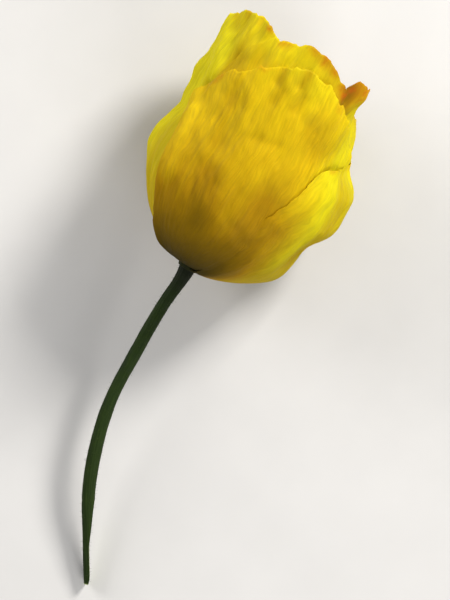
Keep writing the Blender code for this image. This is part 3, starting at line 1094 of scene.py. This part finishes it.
@dataclass(frozen=True)
class Corolla:
    """The four petals.

    Attributes:
        thickness: The silk's thickness.
        petals: The petals, innermost first.
    """

    thickness: float = 0.12 * MM
    petals: tuple[Petal, ...] = (
        Petal(
            "petal_left", 0,
            left=((0, -160), (0.3, -188), (1, -192)), right=((0, -55), (0.3, -22), (1, -12)),
            side_heights=(34, 42),
            rim=(
                (-192, 46), (-150, 49), (-120, 50), (-90, 52.4), (-60, 55.8), (-37, 57), (-24, 56), (-12, 53),
            ),
            creases=(
                Crease((-61, 55), (-47, 44), 2.4, -0.45), Crease((-72, 47), (-70, 45), 2.2, 0.55),
                Crease((-88, 52), (-92, 40), 2.4, 0.5), Crease((-104, 45), (-104, 18), 3.0, -0.4),
                Crease((-59, 41), (-57, 38), 2.6, 0.35), Crease((-88, 37.5), (-86, 33), 3.0, 1.6),
                Crease((-78, 53), (-70, 52), 2.2, -0.5), Crease((-61, 37), (-52, 25), 1.3, -0.90),
                Crease((-51, 24), (-48, 13), 1.3, -0.70), Crease((-90, 27), (-92, 20), 3.4, 1.1),
            ),
            spots=((-34, 55.5, 1.3),),
            flank=(30.0, 52.0), seed=100, crumple=0.26,
        ),
        Petal(
            "petal_right", 1,
            left=((0, 22), (0.2, -26), (0.5, -42), (0.8, -55), (1, -51)),
            right=((0, 120), (0.3, 138), (1, 145)),
            side_heights=(41, 34),
            rim=(
                (-51, 48.6), (-26, 55.2), (-10, 55.8), (2, 56.8), (15, 56.2), (28, 53.4), (36, 52),
                (42, 54.6), (50, 54.6), (57, 53.4), (64, 51.2), (72, 48.8), (84, 46.2), (100, 45.2),
                (145, 44.6),
            ),
            creases=(
                Crease((-28, 49.5), (-27, 48), 2.2, -0.5), Crease((38, 52), (47, 45), 1.9, -1.0),
                Crease((57, 51), (60, 48), 2.0, 0.8), Crease((74, 50), (98, 47.5), 3.6, -1.7),
            ),
            flares=((53, 14, 1.6), (4, 10, 0.4)),
            spots=(
                (3, 57, 1.8), (13, 56, 2.2), (22, 54.5, 1.6), (36, 51.5, 2.6), (44, 53.5, 3.6), (54, 53, 3.4),
            ),
            seed=200, crumple=0.18,
        ),
        FrontPetal(
            "petal_front", 2,
            left=(
                (0, -66), (0.06, -58), (0.14, -48), (0.38, -44.5), (0.55, -46.5), (0.69, -47.5), (0.8, -51),
                (0.9, -55.5), (1, -61),
            ),
            right=((0, 52), (0.3, 66), (1, 82)),
            side_heights=(34, 37),
            rim=(
                (-64, 37), (-50, 41), (-36, 44), (-21, 47.4), (-7, 50.4), (6, 51.8), (24, 51), (44, 46.6),
                (58, 43.6), (70, 41.2), (82, 39),
            ),
            creases=(
                Crease((-9, 50), (-8, 46.5), 1.2, -0.55), Crease((7, 52), (6, 48), 1.1, -0.55),
                Crease((-2, 45), (-4, 42), 1.3, -0.35), Crease((12, 46), (10, 43), 1.2, -0.30),
                Crease((-30, 41), (-28, 37), 1.4, -0.30), Crease((20, 49), (18, 45), 1.8, 0.35),
            ),
            flares=((-3, 4.0, 0.8), (12, 4.0, 0.8), (-21, 3.5, 0.5)), press=(-0.70, 0.0), lift=0.10,
            seed=300, crumple=0.18, ruffle=0.4, frill=0.9,
        ),
        BackPetal(
            "petal_back", 3,
            left=((0, 20), (0.12, 20), (0.3, 21), (0.65, 25), (1, 44)),
            right=((0, 200), (0.3, 212), (1, 222)),
            side_heights=(33, 34),
            rim=((44, 35.2), (62, 35.8), (90, 35.2), (120, 37.4), (150, 42), (178, 43.5), (222, 41)),
            creases=(Crease((56, 33), (52, 12), 2.6, 0.40), Crease((76, 34), (72, 12), 3.0, -0.55)),
            flank=(34.0, 66.0), flares=((90, 20, -1.5),), press=(0.95, 0.60),
            seed=400, crumple=0.14, ruffle=0.6,
        ),
    )

    def build(self, finish: PetalFinish) -> None:
        """Builds and dresses the petals.

        Args:
            finish: The petals' finish.
        """
        silk = finish.make()
        for petal in self.petals:
            keep_piece(petal.build(self.thickness), (petal.name,), silk)


# ---------------------------------------------------------------- stem


def ring_turns(sides: int) -> Grid:
    """Turns of a ring's corners, in one row."""
    return np.linspace(0.0, 2 * math.pi, sides, endpoint=False)[None, :]


@dataclass(frozen=True)
class Stem:
    """The round stem with fine ribs and stiff hairs, cut at a long slant at its lower end.

    Attributes:
        route: Plan of its middle line from the head's base, in millimetres.
        radius: Its usual radius.
        thickenings: Where it is thicker, as (share of the radius, place along, reach).
        end_height: Height of the middle line at the cut end.
        end_sag: Share of its fall that comes late.
        cut: Width that the cut leaves, as (distance from the end, width) in millimetres.
        cut_lip: How far the skin stands above the soft inside of the cut.
        seat: How far below the head's base it starts, along the axis.
        ribs: Fine ribs round it.
        rib_depth: How far they stand out.
        twist: How far the ribs turn along it, in radians.
        wobbles: Unevenness, as (depth, waves along, waves round).
        top_shade_reach: Share of its length over which the painted shade at its top, under the head, fades.
        stations: Rings of the tube.
        sides: Corners of each ring.
        hair_inputs: The hair tree's sizes: Density is for a square metre, Lowest is a height.
    """

    route: Pairs = (
        (-0.3, -0.52), (-2.0, -3.6), (-6.4, -9.9), (-12.6, -20.7), (-17.5, -30.0),
        (-20.8, -40.0), (-22.6, -50.4), (-22.75, -61.0), (-22.5, -71.6),
    )
    radius: float = 1.40 * MM
    thickenings: tuple[Place, ...] = ((0.32, 0.0, 0.045), (0.10, 0.62, 0.10))
    end_height: float = 1.52 * MM
    end_sag: float = 0.18
    cut: Pairs = ((0.0, 1.0), (1.2, 1.35), (8.6, 1.45), (14.0, 2.2), (22.5, 3.2))
    cut_lip: float = 0.10 * MM
    seat: float = 0.6 * MM
    ribs: int = 16
    rib_depth: float = 0.045 * MM
    twist: float = 1.6
    wobbles: tuple[Place, Place] = ((0.05 * MM, 22.0, 1.5), (0.02 * MM, 90.0, 4.0))
    top_shade_reach: float = 0.16
    stations: int = 260
    sides: int = 96
    hair_inputs: tuple[tuple[str, float | int], ...] = (
        ("Density", 900_000.0), ("Length", 0.75 * MM), ("Radius", 0.028 * MM), ("Tilt", 0.55),
        ("Lowest", 0.9 * MM), ("Seed", 4),
    )

    def middle_line(self) -> Grid:
        """The middle line.

        Returns:
            Its places, from under the receptacle to the cut end.
        """
        top = HEAD.base[2] - HEAD.directions()[2, 2] * self.seat
        plan = np.array(HEAD.base[:2]) + curve_through(np.array(self.route) * MM, self.stations)
        run = np.linspace(0.0, 1.0, self.stations)
        drop = (top - self.end_height) * ((1.0 - self.end_sag) * run + self.end_sag * run**2)
        return np.column_stack((plan, top - drop))

    def reach(self, run: Grid, turn: Grid) -> Grid:
        """How far the skin is from the middle line.

        Args:
            run: Place along the stem, 0 to 1.
            turn: Turn round it.

        Returns:
            The distance, with thickenings, ribs and wobbles.
        """
        thicker = sum(share * hump(run, at, width) for share, at, width in self.thickenings)
        radius = self.radius * (1.0 + thicker)
        uneven = 0.7 + 0.3 * ripple(run * 14.0, turn * 2.0, 5)
        relief = self.rib_depth * np.cos(self.ribs * (turn + self.twist * run)) * uneven
        for (depth, along, around), side, seed in zip(self.wobbles, (np.cos(turn), np.sin(turn)), (6, 7)):
            relief = relief + depth * ripple(run * along, side * around, seed)
        return radius + relief

    def skin(self) -> bpy.types.Mesh:
        """The stem's skin.

        Returns:
            The closed mesh, with its own map, its painted shade under the head and its pith values.
        """
        line = self.middle_line()
        heading = np.gradient(line, axis=0)
        heading /= np.linalg.norm(heading, axis=1, keepdims=True)
        across = np.cross(np.array((0.0, 0.0, 1.0)), heading)
        across /= np.linalg.norm(across, axis=1, keepdims=True)
        upward = np.cross(heading, across)
        run = np.linspace(0.0, 1.0, self.stations)[:, None]
        turn = ring_turns(self.sides)
        radius = self.reach(run, turn)
        upright = radius * np.sin(turn)
        sideways, pith = self.cut_away(line, radius * np.cos(turn), upright)
        offsets = across[:, None, :] * sideways[..., None] + upward[:, None, :] * upright[..., None]
        mesh = grid_mesh("stem_skin", line[:, None, :] + offsets, closed=True)
        # Painted shade: near black at the top, under the head, fading down the stem.
        around, along, top_shade = np.broadcast_arrays(
            0.5 + 0.5 * np.sin(turn / 2), run, 1.0 - ramp(run, 0.0, self.top_shade_reach)
        )
        set_uv(mesh, around, along)
        set_values(mesh, "top_shade", top_shade)
        set_values(mesh, "pith", pith)
        mend(mesh)
        mesh.set_sharp_from_angle(angle=math.radians(50.0))
        return mesh

    def cut_away(self, line: Grid, sideways: Grid, upright: Grid) -> tuple[Grid, Grid]:
        """Flattens the right side of the lower end, where the knife went through at a slant.

        Args:
            line: The middle line.
            sideways: How far each corner lies to the right of it.
            upright: How far each corner lies above it.

        Returns:
            The new sideways places, and 1 where the soft inside shows.
        """
        steps = np.linalg.norm(np.diff(line, axis=0), axis=1)
        from_end = np.append(np.cumsum(steps[::-1])[::-1], 0.0)
        distances, widths = np.array(self.cut).T * MM
        flat = np.interp(from_end, distances, widths)[:, None] - self.radius
        half_height = np.sqrt(np.maximum(self.radius**2 - flat**2, 0.0))
        inside = ramp(half_height - np.abs(upright), 0.8 * self.cut_lip, 2.8 * self.cut_lip)
        gone = sideways > flat
        pith = np.where(gone, inside, 0.0)
        pith[-1] = 1.0
        return np.where(gone, flat - self.cut_lip * inside, sideways), pith

    def hair_tree(self) -> bpy.types.NodeTree:
        """A tree that sets short tapered hairs all over a skin.

        Returns:
            The tree, with Density, Length, Radius, Tilt, Lowest, Seed and Finish inputs.
        """
        sizes = ("Density", "Length", "Radius", "Tilt", "Lowest")
        maker = GroupMaker("stiff_hairs", {
            "Skin": Wire.SHAPE, **dict.fromkeys(sizes, Wire.NUMBER), "Seed": Wire.COUNT,
            "Finish": Wire.FINISH,
        }, "Hairs", Wire.SHAPE)
        given = maker.given
        height = maker.add("ShaderNodeSeparateXYZ", {0: maker.out("GeometryNodeInputPosition")}).outputs[2]
        points = maker.add("GeometryNodeDistributePointsOnFaces", {
            "Mesh": given["Skin"], "Selection": maker.math("GREATER_THAN", height, given["Lowest"]),
            "Density": given["Density"], "Seed": given["Seed"],
        }).outputs
        hair = maker.out("GeometryNodeMeshCone", {
            "Vertices": 5, "Side Segments": 2, "Radius Top": 0.004 * MM, "Radius Bottom": given["Radius"],
            "Depth": given["Length"],
        })
        limits = {0: maker.times(given["Tilt"], -1.0), 1: given["Tilt"]}
        lean = maker.out("FunctionNodeRandomValue", limits, data_type="FLOAT_VECTOR")
        turned = maker.out(
            "FunctionNodeRotateRotation", {0: points["Rotation"], 1: lean}, rotation_space="LOCAL"
        )
        return maker.close(maker.copies(
            points["Points"], hair, given["Finish"], Rotation=turned, Scale=maker.chance(0.45, 1.0)
        ))

    def build(self) -> None:
        """Builds and dresses the stem and its hairs."""
        stem = add_piece("stem_skin", self.skin())
        inputs = {**dict(self.hair_inputs), "Finish": TISSUES[Tissue.HAIR].make()}
        hairs = grow("stem_hairs", stem.data.copy(), self.hair_tree(), inputs)
        keep_piece(stem, ("stem",), TISSUES[Tissue.STEM].make())
        keep_piece(hairs)


# ---------------------------------------------------------------- seed head and stamens


@dataclass(frozen=True)
class TurnedPart:
    """A turned plant part on the head's axis, with ribs round it.

    Attributes:
        name: The piece's name.
        node: The CAD node it stands for.
        tissue: Its finish.
        outline: (height, radius) from the axis to the axis, in millimetres.
        ribs: Ribs round it.
        rib_depth: How far they stand out, as a share of the radius.
        low: Height where the ribs start, in millimetres.
        high: Height where they are full, in millimetres.
        grain: Unevenness, as a share of the radius.
        rings: Rings of the mesh.
        sides: Corners of each ring.
    """

    name: str
    node: str
    tissue: Tissue
    outline: Pairs
    ribs: int
    rib_depth: float
    low: float
    high: float
    grain: float = 0.012
    rings: int = 90
    sides: int = 128

    def build(self) -> None:
        """Builds and dresses the part."""
        line = curve_through(np.array(self.outline) * MM, self.rings)
        line[:, 1] = np.maximum(line[:, 1], 0.0)
        line[0, 1] = line[-1, 1] = 0.0
        turn = ring_turns(self.sides)
        height, radius = line[:, :1], line[:, 1:]
        ribbed = self.rib_depth * ramp(height / MM, self.low, self.high) * np.cos(self.ribs * turn)
        uneven = self.grain * ripple(height / (0.6 * MM), np.sin(turn) * 3.0, self.ribs)
        radius = radius * (1.0 + ribbed) * (1.0 + uneven)
        local = np.stack(np.broadcast_arrays(radius * np.cos(turn), radius * np.sin(turn), height), axis=-1)
        mesh = grid_mesh(self.name, HEAD.world(local), closed=True)
        mend(mesh, 0.001 * MM)
        keep_piece(
            add_piece(self.name, mesh), (self.node,), TISSUES[self.tissue].make()
        )


@dataclass(frozen=True)
class RingPlan:
    """One ring of stamens.

    Attributes:
        name: The piece's name.
        count: How many stamens.
        foot: Radius where they start.
        reach: Radius where they end.
        top: Height where the filaments end.
        nodes: First and last number of the CAD nodes it stands for.
        seed: Its random seed.
    """

    name: str
    count: int
    foot: float
    reach: float
    top: float
    nodes: tuple[int, int]
    seed: int


@dataclass(frozen=True)
class SeedHead:
    """Receptacle, ribbed seed capsule, rayed stigma and the rings of stamens round them.

    Attributes:
        turned: The turned parts.
        rings: The rings of stamens.
        stamen_foot: Height where the stamens start.
        stamen_inputs: Sizes that all stamens share.
        ray_inputs: Number and sizes of the velvety rays on the stigma.
    """

    turned: tuple[TurnedPart, ...] = (
        TurnedPart(
            "receptacle_knob", "receptacle", Tissue.RECEPTACLE,
            (
                (3.0, 0.0), (3.0, 1.2), (2.95, 2.3), (2.6, 2.6), (0.9, 2.6), (-0.3, 2.45), (-1.0, 2.30),
                (-1.45, 2.0), (-1.5, 0.8), (-1.5, 0.0),
            ),
            12, -0.03, 2.4, -1.2,
        ),
        TurnedPart(
            "seed_capsule_ribbed", "seed_capsule", Tissue.CAPSULE,
            (
                (12.2, 0.0), (12.2, 1.0), (12.1, 2.0), (11.4, 2.5), (9.4, 2.7), (7.0, 2.3), (5.0, 1.5),
                (3.4, 1.05), (3.3, 0.5), (3.3, 0.0),
            ),
            8, 0.06, 3.6, 8.0,
        ),
        TurnedPart(
            "stigma_cap", "stigma_disc", Tissue.STIGMA,
            (
                (13.9, 0.0), (13.75, 0.7), (13.5, 1.4), (13.05, 2.9), (12.75, 3.15), (12.55, 2.9),
                (12.5, 1.4), (12.5, 0.0),
            ),
            8, 0.07, 12.0, 13.0,
        ),
    )
    rings: tuple[RingPlan, ...] = (
        RingPlan("stamens_inner", 34, 1.75 * MM, 6.2 * MM, 15.6 * MM, (1, 20), 11),
        RingPlan("stamens_outer", 46, 2.30 * MM, 9.0 * MM, 13.2 * MM, (21, 40), 12),
    )
    stamen_foot: float = 3.15 * MM
    stamen_inputs: tuple[tuple[str, float], ...] = (
        ("Filament Radius", 0.13 * MM), ("Sac Radius", 0.50 * MM), ("Sac Length", 2.0 * MM),
    )
    ray_inputs: tuple[tuple[str, float | int], ...] = (
        ("Count", 8), ("Middle", 1.55 * MM), ("Height", 13.42 * MM), ("Length", 2.7 * MM),
        ("Width", 0.26 * MM), ("Slope", 0.27),
    )

    def stamen(self, maker: GroupMaker) -> Socket:
        """One leaning stalk with a two-lobed pollen sac at its tip.

        Args:
            maker: The maker on the ring's tree.

        Returns:
            The stamen, with its sac's faces marked as pollen.
        """
        given = maker.given
        end = maker.vector(given["Reach"], 0.0, given["Top"])
        bend = maker.vector(
            maker.scaled(given["Reach"], 0.38, maker.times(given["Foot"], 0.5)), 0.0,
            maker.scaled(given["Top"], 0.56, maker.times(given["Foot Height"], 0.44)),
        )
        route = maker.out("GeometryNodeCurveQuadraticBezier", {
            "Resolution": 7, "Start": maker.vector(given["Foot"], 0.0, given["Foot Height"]), "Middle": bend,
            "End": end,
        })
        ring = maker.out("GeometryNodeCurvePrimitiveCircle", {
            "Resolution": 6, "Radius": given["Filament Radius"],
        })
        stalk = maker.out("GeometryNodeCurveToMesh", {
            "Curve": route, "Profile Curve": ring, "Fill Caps": True,
        })
        ball = maker.out("GeometryNodeMeshUVSphere", {"Segments": 8, "Rings": 6, "Radius": 1.0})
        thin = maker.times(given["Sac Radius"], 0.66)
        size = maker.vector(thin, thin, maker.times(given["Sac Length"], 0.5))
        lobes = []
        for hand in (-0.42, 0.42):
            aside = maker.vector(
                0.0, maker.times(given["Sac Radius"], hand), maker.times(given["Sac Length"], 0.42)
            )
            lobes.append(maker.moved(ball, Translation=aside, Scale=size))
        lean = maker.vector(0.0, given["Lean"])
        tip = maker.moved(maker.joined(*lobes), Translation=end, Rotation=lean)
        marked = maker.out(
            "GeometryNodeStoreNamedAttribute", {"Geometry": tip, "Name": "pollen", "Value": True},
            data_type="BOOLEAN", domain="FACE",
        )
        return maker.joined(stalk, marked)

    def ring_tree(self) -> bpy.types.NodeTree:
        """A tree that sets leaning stalks with two-lobed pollen sacs in a ring.

        Returns:
            The tree, with Count, Foot, Foot Height, Reach, Top, Filament Radius, Sac Radius, Sac Length,
            Lean, Seed, Filament and Pollen inputs.
        """
        sizes = ("Foot", "Foot Height", "Reach", "Top", "Filament Radius", "Sac Radius", "Sac Length", "Lean")
        maker = GroupMaker("stamen_ring", {
            "Start": Wire.SHAPE, "Count": Wire.COUNT, **dict.fromkeys(sizes, Wire.NUMBER),
            "Seed": Wire.COUNT, "Filament": Wire.FINISH, "Pollen": Wire.FINISH,
        }, "Stamens", Wire.SHAPE)
        given = maker.given
        second, third, fourth = (maker.math("ADD", given["Seed"], more) for more in (1.0, 2.0, 3.0))
        spin = maker.vector(
            maker.chance(-0.09, 0.09, second), maker.chance(-0.10, 0.10, third),
            maker.math("ADD", maker.chance(-0.11, 0.11, given["Seed"]), maker.ring_turn()),
        )
        stamens = maker.copies(
            maker.out("GeometryNodePoints", {"Count": given["Count"]}), self.stamen(maker), given["Filament"],
            Rotation=spin, Scale=maker.chance(0.90, 1.06, fourth),
        )
        pollen = maker.out("GeometryNodeInputNamedAttribute", {"Name": "pollen"}, data_type="BOOLEAN")
        return maker.close(maker.dressed(stamens, given["Pollen"], Selection=pollen))

    def ray_tree(self) -> bpy.types.NodeTree:
        """A tree that sets long soft ridges round the stigma.

        Returns:
            The tree, with Count, Middle, Height, Length, Width, Slope and Finish inputs.
        """
        sizes = ("Middle", "Height", "Length", "Width", "Slope")
        maker = GroupMaker("stigma_rays", {
            "Start": Wire.SHAPE, "Count": Wire.COUNT, **dict.fromkeys(sizes, Wire.NUMBER),
            "Finish": Wire.FINISH,
        }, "Rays", Wire.SHAPE)
        given = maker.given
        ray = maker.moved(
            maker.out("GeometryNodeMeshUVSphere", {"Segments": 20, "Rings": 12, "Radius": 1.0}),
            Translation=maker.vector(given["Middle"], 0.0, given["Height"]),
            Rotation=maker.vector(0.0, given["Slope"]),
            Scale=maker.vector(maker.times(given["Length"], 0.5), given["Width"], given["Width"]),
        )
        return maker.close(maker.copies(
            maker.out("GeometryNodePoints", {"Count": given["Count"]}), ray, given["Finish"],
            Rotation=maker.vector(0.0, 0.0, maker.ring_turn()),
        ))

    def planted(self, name: str, tree: bpy.types.NodeTree, inputs: Feed) -> bpy.types.Object:
        """Grows a piece round its own Z axis and moves its mesh onto the head's axis.

        Args:
            name: The piece's name.
            tree: Its geometry tree.
            inputs: Values for the tree's named inputs.

        Returns:
            The piece.
        """
        piece = grow(name, bpy.data.meshes.new(f"{name}_start"), tree, inputs)
        place = np.identity(4)
        place[:3, :3] = HEAD.directions().T
        place[:3, 3] = HEAD.base
        piece.data.transform(Matrix(place.tolist()))
        return piece

    def build(self) -> None:
        """Builds and dresses every part."""
        for part in self.turned:
            part.build()
        velvet = TISSUES[Tissue.STIGMA].make()
        rays = self.planted("stigma_ridges", self.ray_tree(), {**dict(self.ray_inputs), "Finish": velvet})
        keep_piece(rays)
        shared = {
            **dict(self.stamen_inputs), "Foot Height": self.stamen_foot,
            "Filament": TISSUES[Tissue.FILAMENT].make(), "Pollen": TISSUES[Tissue.ANTHER].make(),
        }
        tree = self.ring_tree()
        for ring in self.rings:
            piece = self.planted(ring.name, tree, {
                **shared, "Count": ring.count, "Foot": ring.foot, "Reach": ring.reach, "Top": ring.top,
                "Lean": math.atan2(ring.reach - ring.foot, ring.top - self.stamen_foot), "Seed": ring.seed,
            })
            first, last = ring.nodes
            keep_piece(piece, tuple(f"stamen_{number:02d}" for number in range(first, last + 1)))


# ---------------------------------------------------------------- table, light and camera


@dataclass(frozen=True)
class Lamp:
    """A soft square lamp that points at the flower.

    Attributes:
        name: Its name.
        place: Where it stands.
        size: Its side.
        power: Its power, in watts.
        colour: Its colour.
    """

    name: str
    place: Place
    size: float
    power: float
    colour: Colour = (1.0, 0.99, 0.97)

    def build(self) -> None:
        """Hangs the lamp."""
        light = bpy.data.lights.new(self.name, "AREA")
        light.size = self.size
        light.energy = self.power
        light.color = self.colour
        lamp = bpy.data.objects.new(self.name, light)
        lamp.location = self.place
        lamp.rotation_euler = (-Vector(self.place)).to_track_quat("-Z", "Y").to_euler()
        bpy.context.scene.collection.objects.link(lamp)


@dataclass(frozen=True)
class Studio:
    """A pale table, soft light from the mouth's side and a camera that looks straight down.

    Attributes:
        table_size: Side of the table's top.
        table_colour: Its colour.
        lamps: The lamps.
        camera_place: Where the camera stands.
        lens: Its focal length, in millimetres.
        sensor: Its sensor's height, in millimetres.
        nearest: Nearest distance that it sees.
        room_colour: Colour of the even light from all round.
        room_light: Strength of that light.
    """

    table_size: float = 8.0
    table_colour: Colour = (0.50, 0.49, 0.48)
    lamps: tuple[Lamp, ...] = (
        Lamp("key_light", (0.46, 0.44, 0.44), 0.20, 9.2, (1.0, 0.98, 0.94)),
        Lamp("fill_light", (-0.62, 0.44, 0.36), 0.4, 5.2),
        Lamp("low_light", (0.26, -0.60, 0.40), 0.4, 3.4),
    )
    camera_place: Place = (0.0007, 0.00037, 1.0)
    lens: float = 267.8
    sensor: float = 36.0
    nearest: float = 0.01
    room_colour: Colour = (0.95, 0.97, 1.0)
    room_light: float = 0.36

    def build(self) -> None:
        """Builds the table, the lamps, the room and the camera."""
        scene = bpy.context.scene
        scene.view_settings.view_transform = "Standard"
        scene.view_settings.look = "None"
        half = self.table_size / 2
        corners = [[(x, y, 0.0) for x in (-half, half)] for y in (-half, half)]
        table = add_piece("table_top", grid_mesh("table_top", np.array(corners)))
        table.data.materials.append(self.table_finish())
        for lamp in self.lamps:
            lamp.build()
        room = bpy.data.worlds.new("soft_room")
        room.use_nodes = True
        background = room.node_tree.nodes["Background"]
        background.inputs["Color"].default_value = opaque(self.room_colour)
        background.inputs["Strength"].default_value = self.room_light
        scene.world = room
        camera = bpy.data.objects.new("camera", bpy.data.cameras.new("camera"))
        camera.data.lens = self.lens
        camera.data.sensor_fit = "VERTICAL"
        camera.data.sensor_height = self.sensor
        camera.data.clip_start = self.nearest
        camera.location = self.camera_place
        scene.collection.objects.link(camera)
        scene.camera = camera

    def table_finish(self) -> bpy.types.Material:
        """A matt pale finish with faint mottling.

        Returns:
            The material.
        """
        material, maker, surface = start_material("pale_table")
        low = opaque(tuple(0.97 * part for part in self.table_colour))
        base = maker.blend(maker.mask(BLOTCHES, Scale=60.0), low, opaque(self.table_colour))
        maker.feed(surface, {"Base Color": base, "Roughness": 0.85})
        return material


# ---------------------------------------------------------------- the flower


def main() -> None:
    """Builds the flower and its studio."""
    logging.basicConfig(level=logging.INFO, format="%(name)s: %(message)s")
    Studio().build()
    Stem().build()
    SeedHead().build()
    Corolla().build(PetalFinish("poppy_silk"))


if __name__ == "__main__":
    main()
